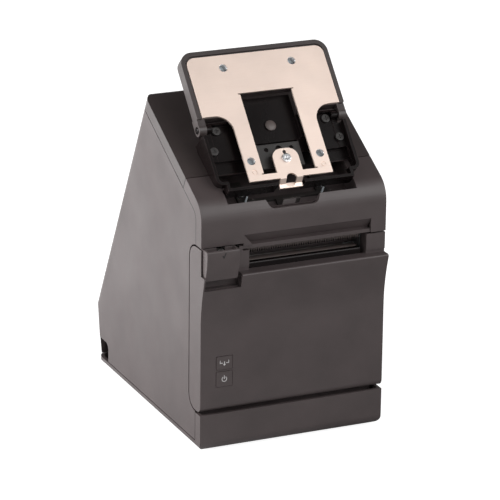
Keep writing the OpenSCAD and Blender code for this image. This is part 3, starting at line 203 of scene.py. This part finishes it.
MATERIALS = {
    "case_plastic": moulded("case_plastic", rgb(0.064, 0.050, 0.050), 0.46),
    "dark_plastic": moulded("dark_plastic", rgb(0.046, 0.036, 0.035), 0.42, wear_and_sheen=0.6),
    # Edges ten times paler on this near-black plastic: a painted highlight along its rims.
    "inner_plastic": moulded("inner_plastic", rgb(0.006, 0.004, 0.004), 0.27, wear_and_sheen=0.9,
                             specular=0.18, rub_and_sheen=10),
    "gear_plastic": moulded("gear_plastic", rgb(0.68, 0.65, 0.57), 0.38, depth=0.1, wear_and_sheen=0.1),
    "bushing": moulded("bushing", rgb(0.62, 0.56, 0.4), 0.4, depth=0.1, wear_and_sheen=0.1),
    "plate_steel": brushed("plate_steel", rgb(0.86, 0.72, 0.64), 0.53, clouds=0.05),
    "frame_steel": brushed("frame_steel", rgb(0.52, 0.53, 0.54), 0.4),
    "bright_steel": brushed("bright_steel", rgb(0.68, 0.68, 0.69), 0.26, depth=0.06),
    "socket_metal": brushed("socket_metal", rgb(0.6, 0.6, 0.61), 0.3),
    "heat_sink": moulded("heat_sink", rgb(0.10, 0.08, 0.075), 0.4, grain=1500, depth=0.3),
    "brass": brushed("brass", rgb(0.72, 0.52, 0.22), 0.3),
    "painted_steel": moulded("painted_steel", rgb(0.024, 0.021, 0.02), 0.42, grain=1500,
                             depth=0.9, rub_and_sheen=3),
    "head_ceramic": moulded("head_ceramic", rgb(0.09, 0.075, 0.06), 0.2, depth=0.03, wear_and_sheen=0.0),
    "platen_rubber": rubber("platen_rubber", rgb(0.012, 0.012, 0.012)),
    "foot_rubber": rubber("foot_rubber", rgb(0.018, 0.018, 0.018)),
    "board": solder_mask("board", rgb(0.015, 0.07, 0.03)),
    "chip": moulded("chip", rgb(0.012, 0.012, 0.013), 0.45, wear_and_sheen=0.2),
    "flat_cable": flat_flex("flat_cable", rgb(0.5, 0.49, 0.46)),
    "lead_red": moulded("lead_red", rgb(0.35, 0.015, 0.012), 0.4, depth=0.05, wear_and_sheen=0.0),
    "lead_black": moulded("lead_black", rgb(0.015, 0.015, 0.016), 0.4, depth=0.05, wear_and_sheen=0.0),
    # A pale bluish white; on the prong tips it is a painted highlight, on the hole caps a painted reflection.
    "zinc": moulded("zinc", rgb(0.72, 0.78, 0.82), 0.3, depth=0.05, wear_and_sheen=0.0),
    "blued_steel": moulded("blued_steel", rgb(0.10, 0.08, 0.075), 0.4, grain=1500, depth=0.3),
    "catch_grey": moulded("catch_grey", rgb(0.16, 0.14, 0.14), 0.5, wear_and_sheen=0.2),
    "icon_ink": printed_ink("icon_ink", rgb(0.55, 0.54, 0.54)),
    "mark_ink": printed_ink("mark_ink", rgb(0.012, 0.011, 0.011)),
}


# ---- Places, measured in millimetres from the foot of the front face ----

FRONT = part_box("base_tray")[0].y


def at(x, y, z):
    """A point x across, y back and z up from the foot of the front face."""
    return Vector((x * MM, FRONT + y * MM, z * MM))


def middle(node):
    """The middle of a CAD node's box, as numbers for at()."""
    low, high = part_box(node)
    x, y, z = (low + high) / 2 / MM
    return x, y - FRONT / MM, z


def on_slope(origin, angle, x, v, w):
    """A point x across, v up the slope and w out of it, from an origin on the slope."""
    return origin + Vector((x, v * math.cos(angle) - w * math.sin(angle),
                            v * math.sin(angle) + w * math.cos(angle))) * MM


PINS = Vector(joints["tablet_head_tilt"]["pos_m"])
PLATE_ANGLE = math.radians(47.5)
PLATE_HOLES = (("lower_left", -26, -30), ("lower_right", 26, -30),
               ("upper_left", -26, 42.4), ("upper_right", 26, 42.4))
WELL = at(0, 3.1, 180.95)    # the front edge of the stand's well
WELL_ANGLE = math.radians(28)


def on_plate(x, v, w):
    """A point on the tilting plate, from its pins."""
    return on_slope(PINS, PLATE_ANGLE, x, v, w)


def in_well(x, v, w):
    """A point in the stand's well, from its front edge."""
    return on_slope(WELL, WELL_ANGLE, x, v, w)


# ---- Small pieces the CAD leaves out ----

def place(obj, body, material):
    """Link the piece, give it its material and, when a body is given, its body."""
    bpy.context.scene.collection.objects.link(obj)
    obj.data.materials.append(MATERIALS[material])
    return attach(obj, body) if body else obj


def mesh_piece(name, build, body, material, bevel=0.0):
    """A piece whose mesh is filled in by build(bm)."""
    mesh = bpy.data.meshes.new(name)
    bm = bmesh.new()
    build(bm)
    bmesh.ops.recalc_face_normals(bm, faces=bm.faces)
    if bevel:
        bmesh.ops.bevel(bm, geom=bm.edges[:], offset=bevel * MM, segments=2, affect="EDGES",
                        clamp_overlap=True)
    bm.to_mesh(mesh)
    bm.free()
    mesh.shade_smooth()
    mesh.set_sharp_from_angle(angle=math.radians(35))
    return place(bpy.data.objects.new(name, mesh), body, material)


def wire(name, points, radius, body, material):
    """A round wire through the points."""
    curve = bpy.data.curves.new(name, "CURVE")
    curve.dimensions = "3D"
    curve.bevel_depth = radius * MM
    curve.bevel_resolution = 4
    curve.use_fill_caps = True
    spline = curve.splines.new("NURBS" if len(points) < 12 else "POLY")
    spline.points.add(len(points) - 1)
    for point, position in zip(spline.points, points):
        point.co = (*position, 1.0)
    spline.use_endpoint_u = True
    spline.order_u = 3
    return place(bpy.data.objects.new(name, curve), body, material)


def helix(centre, along, across, radius, length, turns, steps=24, ends=0.0):
    """Points of a coil about the line from centre along an axis.

    ends is how far its end turns close up, from 0 to 1.
    """
    along, across = along.normalized(), across.normalized()
    third = along.cross(across)
    points = []
    total = int(turns * steps)
    for i in range(total + 1):
        t = i / total
        rise = t - math.sin(2 * math.pi * t) / (2 * math.pi) * ends
        a = 2 * math.pi * turns * t
        points.append(centre + along * length * rise * MM
                      + (across * math.cos(a) + third * math.sin(a)) * radius * MM)
    return points


def prism(bm, outline, front, back):
    """Extrude an (x, z) outline between two depths y."""
    near = [bm.verts.new(at(x, front, z)) for x, z in outline]
    far = [bm.verts.new(at(x, back, z)) for x, z in outline]
    bm.faces.new(near)
    bm.faces.new(far[::-1])
    count = len(outline)
    for i in range(count):
        j = (i + 1) % count
        bm.faces.new((near[j], near[i], far[i], far[j]))


def brick(bm, x_limits, y_limits, z_limits, where=at):
    """A box between (low, high) limits; where() turns its numbers into points."""
    corners = [bm.verts.new(where(x, y, z)) for z in z_limits for y in y_limits for x in x_limits]
    for face in ((0, 1, 3, 2), (4, 6, 7, 5), (0, 4, 5, 1), (2, 3, 7, 6), (0, 2, 6, 4),
                 (1, 5, 7, 3)):
        bm.faces.new([corners[i] for i in face])


def turned(bm, x, v, rings, count):
    """A round skin on the plate about (x, v), through (radius, w) rings and closed at the last."""
    loops = [[bm.verts.new(on_plate(x + radius * math.cos(2 * math.pi * i / count),
                                    v + radius * math.sin(2 * math.pi * i / count), w))
              for i in range(count)] for radius, w in rings]
    for outer, inner in zip(loops, loops[1:]):
        for i in range(count):
            j = (i + 1) % count
            bm.faces.new((outer[i], outer[j], inner[j], inner[i]))
    bm.faces.new(loops[-1])
    return loops


def ribbon(name, path, x0, x1, thickness, material, columns=12):
    """A flat cable that follows (y, z) points on a smooth curve, from x0 to x1 across."""
    steps = 6
    smooth = []
    for i in range(len(path) - 1):
        before = path[max(i - 1, 0)]
        a, b = path[i], path[i + 1]
        after = path[min(i + 2, len(path) - 1)]
        for k in range(steps):
            t = k / steps
            smooth.append(tuple(0.5 * (2 * a[n] + (b[n] - before[n]) * t
                                       + (2 * before[n] - 5 * a[n] + 4 * b[n] - after[n]) * t * t
                                       + (3 * a[n] - before[n] - 3 * b[n] + after[n]) * t ** 3)
                                for n in (0, 1)))
    smooth.append(path[-1])

    def build(bm):
        rows = []
        for y, z in smooth:
            rows.append([bm.verts.new(at(x0 + (x1 - x0) * c / columns, y, z))
                         for c in range(columns + 1)])
        for low, high in zip(rows, rows[1:]):
            for c in range(columns):
                bm.faces.new((low[c], low[c + 1], high[c + 1], high[c]))
        bmesh.ops.solidify(bm, geom=bm.faces[:], thickness=thickness * MM)

    return mesh_piece(name, build, None, material)


def make_springs():
    """Wound coils in place of the CAD's rows of rings."""
    x_axis, y_axis, z_axis = Vector((1, 0, 0)), Vector((0, 1, 0)), Vector((0, 0, 1))
    foot = Vector(joints["cover_lever_pull"]["pos_m"])
    foot.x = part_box("lever_spring")[0].x
    coil = helix(foot, x_axis, z_axis, radius=1.75, length=4.2, turns=4)
    spring = wire("lever_spring_coil", coil, 0.4, "roll_cover", "painted_steel")
    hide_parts("lever_spring")
    low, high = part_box("head_springs")
    ring = (high.z - low.z) / 2
    for side, x in (("left", low.x + ring), ("right", high.x - ring)):
        foot = Vector((x, low.y, low.z + ring))
        coil = helix(foot, y_axis, z_axis, radius=2.25, length=8.4, turns=5, ends=0.6)
        spring = wire("head_spring_" + side, coil, 0.36, "printer_case", "bright_steel")
        if side == "left":
            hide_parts("head_springs")


def make_threads():
    """The screw threads in the plate's four collars."""
    out = on_plate(0, 0, 1) - on_plate(0, 0, 0)
    for name, x, v in PLATE_HOLES:
        coil = helix(on_plate(x, v, 2.6), out, Vector((1, 0, 0)), radius=3.0, length=3.0,
                     turns=5, steps=40)
        wire("thread_" + name, coil, 0.27, "tablet_head", "bright_steel")


def make_button_marks():
    """A feed arrow and a power sign, printed on the keys, and a tick on the lever."""
    ink = (-0.26, -0.15)    # front and back of the ink layer on the keys
    bracket = ((3.0, 1.9), (3.4, 1.9), (3.4, -0.3), (1.3, -0.3), (1.3, 0.2), (3.0, 0.2))
    arrow = ((-0.3, 1.1), (0.3, 1.1), (0.3, -0.9), (1.1, -0.9), (0, -2.1), (-1.1, -0.9),
             (-0.3, -0.9))

    def feed(bm):
        x0, _, z0 = middle("feed_button")
        for side in (-1, 1):
            prism(bm, [(x0 + side * x, z0 + z) for x, z in bracket][::side], *ink)
        prism(bm, [(x0 + x, z0 + z) for x, z in arrow], *ink)

    def power(bm):
        x0, _, z0 = middle("power_button")
        z0 -= 0.1
        steps = 20
        for i in range(steps):
            a, b = (math.radians(120 + 300 * (i + k) / steps) for k in (0, 1))
            prism(bm, [(x0 + r * math.cos(t), z0 + r * math.sin(t))
                       for r, t in ((1.5, a), (2.0, a), (2.0, b), (1.5, b))], *ink)
        brick(bm, (x0 - 0.25, x0 + 0.25), ink, (z0 + 0.1, z0 + 2.7))

    def tick(bm):
        x0, _, z0 = middle("cover_lever")
        outline = ((-0.9, 7.1), (-0.2, 7.6), (0.2, 6.6), (1.6, 9.4), (2.1, 9.1), (0.3, 5.2))
        prism(bm, [(x0 + x, z0 + z) for x, z in outline], -7.84, -7.3)

    mesh_piece("lever_tick", tick, "cover_lever", "mark_ink")
    mesh_piece("feed_icon", feed, "feed_button", "icon_ink")
    mesh_piece("power_icon", power, "power_button", "icon_ink")


def make_stand_marks():
    """The catch's pale face, painted highlights on the tips of its two prongs and the panel's domed boss."""
    def catch(bm):
        brick(bm, (-6.4, 3.2), (0.05, 0.25), (-10, -4.3), in_well)

    mesh_piece("catch_face", catch, "printer_case", "catch_grey", bevel=0.04)
    # Small pale plates on the prong tips: painted highlights.
    for side, x in (("left", -29), ("right", 29)):
        def painted_prong_highlight(bm):
            brick(bm, (x - 0.6, x + 0.6), (10.3, 11.1), (-13, -7.8), in_well)

        mesh_piece("painted_prong_highlight_" + side, painted_prong_highlight, "printer_case", "zinc", bevel=0.1)

    def dome(bm):
        rings = ((3.95, -2.6), (3.9, -2.3), (3.3, -1.9), (2.2, -1.6), (1.0, -1.45))
        loops = turned(bm, 0, -1.2, rings, 40)
        bm.faces.new(loops[0][::-1])

    mesh_piece("window_boss", dome, "printer_case", "blued_steel")


def make_seam_shadows():
    """Painted shadow in the wide seams between the side walls and the upper front cover: near-black lines laid
    along them.
    """
    radius, middle_y, middle_z = 8.67, 18, 168.48    # of the rounded front corner
    path = [(9.33, 152.2), (9.33, 168.5)]
    path += [(middle_y + radius * math.cos(math.radians(a)),
              middle_z + radius * math.sin(math.radians(a))) for a in range(172, 117, -6)]
    path += [(20, 179.36), (31.7, 185.6), (27.6, 193.3)]
    for side, x in (("left", -69.66), ("right", 69.66)):
        points = [at(x, y, z) for y, z in path]
        wire("painted_seam_shadow_" + side, points, 0.45, "printer_case", "mark_ink")


def make_hole_caps():
    """Dished caps that close the plate's four threaded holes from behind; their bright, pale bluish colour is a
    painted reflection.
    """
    for name, x, v in PLATE_HOLES:
        def dish(bm):
            turned(bm, x, v, ((3.8, 2.3), (3.2, 2.22), (2.3, 2.1), (1.2, 2.02), (0.4, 2.0)), 32)
            bmesh.ops.solidify(bm, geom=bm.faces[:], thickness=0.1 * MM)

        mesh_piece("hole_cap_" + name, dish, "tablet_head", "zinc")


def row(bm, count, x, pitch, width, y_limits, z_limits):
    """Equal bricks side by side, the first from x."""
    for i in range(count):
        left = x + i * pitch
        brick(bm, (left, left + width), y_limits, z_limits)


def make_contacts():
    """Tongues, spring contacts and pins in the rear sockets, and the legs of the chips."""
    tongue, contact, short_contact = (139, 146.6), (139.5, 146.8), (140, 145.8)    # y limits

    def usb_tongues(bm):
        brick(bm, (-28.0, -20.0), tongue, (29.0, 31.6))
        brick(bm, (-9.6, 1.6), tongue, (29.9, 31.4))

    def contacts(bm):
        for node, count, x, z in (("network_socket", 8, -4.4, 3.3), ("drawer_socket", 6, -3.4, 3.1)):
            x0, _, z0 = middle(node)
            row(bm, count, x0 + x, 1.26, 0.5, contact, (z0 + z, z0 + z + 0.4))
        row(bm, 4, -27.2, 2.0, 0.9, short_contact, (31.6, 31.8))
        row(bm, 4, -8.6, 2.5, 1.2, short_contact, (29.7, 29.9))

    def chip_legs(bm):
        board = (131.6, 132.1)    # y limits, up from the board's face
        for height in ((74.6, 76.1), (91.9, 93.4)):
            row(bm, 11, -9.4, 1.44, 0.6, board, height)
        for height in ((78.6, 80.1), (87.9, 89.4)):
            row(bm, 6, -33.6, 1.6, 0.6, board, height)

    mesh_piece("usb_tongues", usb_tongues, "printer_case", "chip", bevel=0.15)
    mesh_piece("socket_contacts", contacts, "printer_case", "brass")
    mesh_piece("chip_legs", chip_legs, "printer_case", "bright_steel")
    x0, _, z0 = middle("power_socket")
    for i, (x, z) in enumerate(((-3, 0), (0, 3.2), (3, 0))):
        pin = [at(x0 + x, y, z0 + z) for y in (139, 142, 145.5)]
        wire(f"power_pin_{i}", pin, 0.6, "printer_case", "brass")


def make_cables():
    """The print head's flat cable and the two leads of the feed motor."""
    way = ((27.2, 124.5), (31, 119), (35.5, 110), (39, 104.8), (50, 104.4), (80, 104.4),
           (108, 104.6), (119, 104), (126, 99), (129.3, 92))
    cable = ribbon("head_cable", way, -9, 19, 0.25, "flat_cable")
    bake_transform(cable)
    for i, material in enumerate(("lead_red", "lead_black")):
        x = 31 + i * 1.6
        way = ((64, 121), (73.4, 124), (73.4, 140), (73.4, 149), (76.0, 153), (79, 148),
               (92, 116), (126, 108), (134, 100), (132.0, 92))
        points = [at(34.4, 62 + i * 2, 120)] + [at(x, y, z) for y, z in way]
        wire(f"feed_motor_lead_{i}", points, 0.5, "printer_case", material)


# ---- Finishing of the CAD nodes ----

EDGE = {  # radius of the broken edges, in millimetres
    "main_case": 0.9, "base_tray": 0.7, "top_cover": 0.8, "upper_front_cover": 0.7,
    "roll_cover": 0.7, "cover_lever": 0.8, "feed_button": 0.3, "power_button": 0.3,
    "tablet_plate": 0.25, "tilt_tray": 0.7, "lower_cradle": 0.5, "window_panel": 0.4,
    "stand_bracket": 0.3, "connector_panel": 0.4, "cutter_bed": 0.4, "cover_inner_frame": 0.4,
    "roll_bay": 0.5, "rubber_feet": 0.5, "paper_guide": 0.3, "mechanism_frame": 0.15,
    "head_heat_sink": 0.2, "network_socket": 0.2, "drawer_socket": 0.3, "power_socket": 0.3,
    "usb_sockets": 0.2, "lock_screw": 0.2, "cradle_screws": 0.2, "board_parts": 0.2,
    "feed_motor": 0.5, "cutter_motor": 0.4, "platen_rubber": 0.3, "key_switches": 0.2,
}
LOOKS = {  # nodes that look unlike the rest of their slot
    "tear_bar": "blued_steel", "fixed_blade": "blued_steel", "tilt_pins": "inner_plastic",
    "cutter_bed": "case_plastic",
}


def finish_cad_nodes():
    """Give every CAD node its material, broken edges and smooth curved faces."""
    slots = {s["node"]: s["material_slot"] for s in frame["record"]["subparts"]}
    for name, obj in nodes.items():
        obj.data.materials.clear()
        obj.data.materials.append(MATERIALS[LOOKS.get(name, slots[name])])
        weld = obj.modifiers.new("weld", "WELD")
        weld.merge_threshold = 0.004 * MM
        obj.data.shade_smooth()
        if name in EDGE:
            bevel = obj.modifiers.new("edges", "BEVEL")
            bevel.width = EDGE[name] * MM
            bevel.segments = 3
            bevel.limit_method = "ANGLE"
            bevel.angle_limit = math.radians(32)
            bevel.use_clamp_overlap = True
            bevel.miter_outer = "MITER_ARC"
        smooth = obj.modifiers.new("normals", "WEIGHTED_NORMAL")
        smooth.keep_sharp = True


# ---- Stage, light and camera ----

ROOM = 0.62         # brightness of the studio round the object
CEILING = 0.05      # and of its dark ceiling
CEILING_WAY = (0.20, 0.42, 0.88)    # the way to the ceiling's middle
CEILING_EDGE = (0.45, 0.8)          # cosines off that way where it begins and is full
FLOOR_FRONT = 0.0   # glow of the floor in front of the object
FLOOR_REAR = 1.3    # and behind it
FLOOR_WAY = (-0.62, 0.78, 0.0)      # the way in which the glow grows
FLOOR_EDGE = (-0.1, 0.35)           # metres along that way where it starts and is full
CAMERA_PLACE = Vector((-0.8615, FRONT - 1.8302, 0.83705))
CAMERA_ANGLES = (-24.34, 18.98, 0.683)    # azimuth, elevation and roll, in degrees


def area_light(name, position, size_x, size_y, power):
    """A rectangular light in metres and watts, aimed at the middle of the object."""
    data = bpy.data.lights.new(name, "AREA")
    data.energy = power
    data.shape = "RECTANGLE"
    data.size = size_x
    data.size_y = size_y
    light = bpy.data.objects.new(name, data)
    bpy.context.scene.collection.objects.link(light)
    light.location = position
    aim = Vector((0, 0, 0.15)) - Vector(position)
    light.rotation_euler = aim.to_track_quat("-Z", "Y").to_euler()


def light_room(tree):
    """A white studio with a dark ceiling; the camera itself sees plain white."""
    new = tree.nodes.new
    link = tree.links.new
    background = tree.nodes["Background"]
    up = new("ShaderNodeVectorMath")
    up.operation = "DOT_PRODUCT"
    up.inputs[1].default_value = Vector(CEILING_WAY).normalized()
    link(new("ShaderNodeTexCoord").outputs["Generated"], up.inputs[0])
    ceiling = new("ShaderNodeMapRange")
    ceiling.interpolation_type = "SMOOTHSTEP"
    start, full = CEILING_EDGE
    for name, value in (("From Min", start), ("From Max", full),
                        ("To Min", ROOM), ("To Max", CEILING)):
        ceiling.inputs[name].default_value = value
    link(up.outputs["Value"], ceiling.inputs["Value"])
    seen = new("ShaderNodeMix")
    link(new("ShaderNodeLightPath").outputs["Is Camera Ray"], seen.inputs["Factor"])
    link(ceiling.outputs["Result"], seen.inputs["A"])
    seen.inputs["B"].default_value = 1.0
    link(seen.outputs["Result"], background.inputs["Strength"])
    background.inputs["Color"].default_value = (1, 1, 1, 1)


def make_stage():
    """The floor and the studio round it.

    The floor is white paper to the camera; to the object it is bright behind and to the
    left, and dim in front.
    """
    mesh = bpy.data.meshes.new("floor")
    bm = bmesh.new()
    bmesh.ops.create_grid(bm, x_segments=8, y_segments=8, size=6)
    bm.to_mesh(mesh)
    bm.free()
    floor = bpy.data.objects.new("floor", mesh)
    bpy.context.scene.collection.objects.link(floor)
    s = Shader("floor_paper")
    s.bump(s.noise(500, 3), 0.05, 0.1 * MM)
    colour = s.mix(s.noise(3, 2), rgb(0.42, 0.42, 0.42), rgb(0.46, 0.46, 0.46))
    side = s.add("VectorMath", {0: s.coords, 1: FLOOR_WAY},
                 operation="DOT_PRODUCT").outputs["Value"]
    glow = s.ramp(side, FLOOR_FRONT, FLOOR_REAR, *FLOOR_EDGE)
    seen = s.add("LightPath").outputs["Is Camera Ray"]
    shown = s.add("Mix", {"Factor": seen, "A": glow, "B": 0.9}).outputs["Result"]
    s.put(s.bsdf.inputs["Emission Strength"], shown)
    s.bsdf.inputs["Emission Color"].default_value = rgb(1, 1, 1)
    floor.data.materials.append(s.finish(colour, 0.7, specular=0.0))
    world = bpy.data.worlds.new("studio")
    bpy.context.scene.world = world
    world.use_nodes = True
    light_room(world.node_tree)


def make_lights():
    """A soft box to the left of the object and one in front of it, to the right."""
    area_light("left_box", (-1.4, 0.25, 0.55), 1.0, 1.1, 30)
    area_light("front_box", (0.68, -1.2, 1.05), 1.5, 1.1, 14)


def make_camera():
    """The studio camera, in front of the object, to its left and a little above it."""
    azimuth, elevation, roll = (math.radians(angle) for angle in CAMERA_ANGLES)
    back = Vector((math.sin(azimuth) * math.cos(elevation),
                   -math.cos(azimuth) * math.cos(elevation), math.sin(elevation)))
    right = Vector((0, 0, 1)).cross(back).normalized()
    up = back.cross(right)
    turned_right = right * math.cos(roll) + up * math.sin(roll)
    turned_up = up * math.cos(roll) - right * math.sin(roll)
    rotation = Matrix((turned_right, turned_up, back)).transposed().to_4x4()
    data = bpy.data.cameras.new("camera")
    data.lens = 223.6
    data.sensor_width = 36
    data.clip_start = 0.05
    camera = bpy.data.objects.new("camera", data)
    bpy.context.scene.collection.objects.link(camera)
    camera.matrix_world = Matrix.Translation(CAMERA_PLACE) @ rotation
    bpy.context.scene.camera = camera


make_springs()
make_threads()
make_button_marks()
make_contacts()
make_stand_marks()
make_seam_shadows()
make_hole_caps()
make_cables()
finish_cad_nodes()
make_stage()
make_lights()
make_camera()
bpy.context.scene.view_settings.view_transform = "Standard"
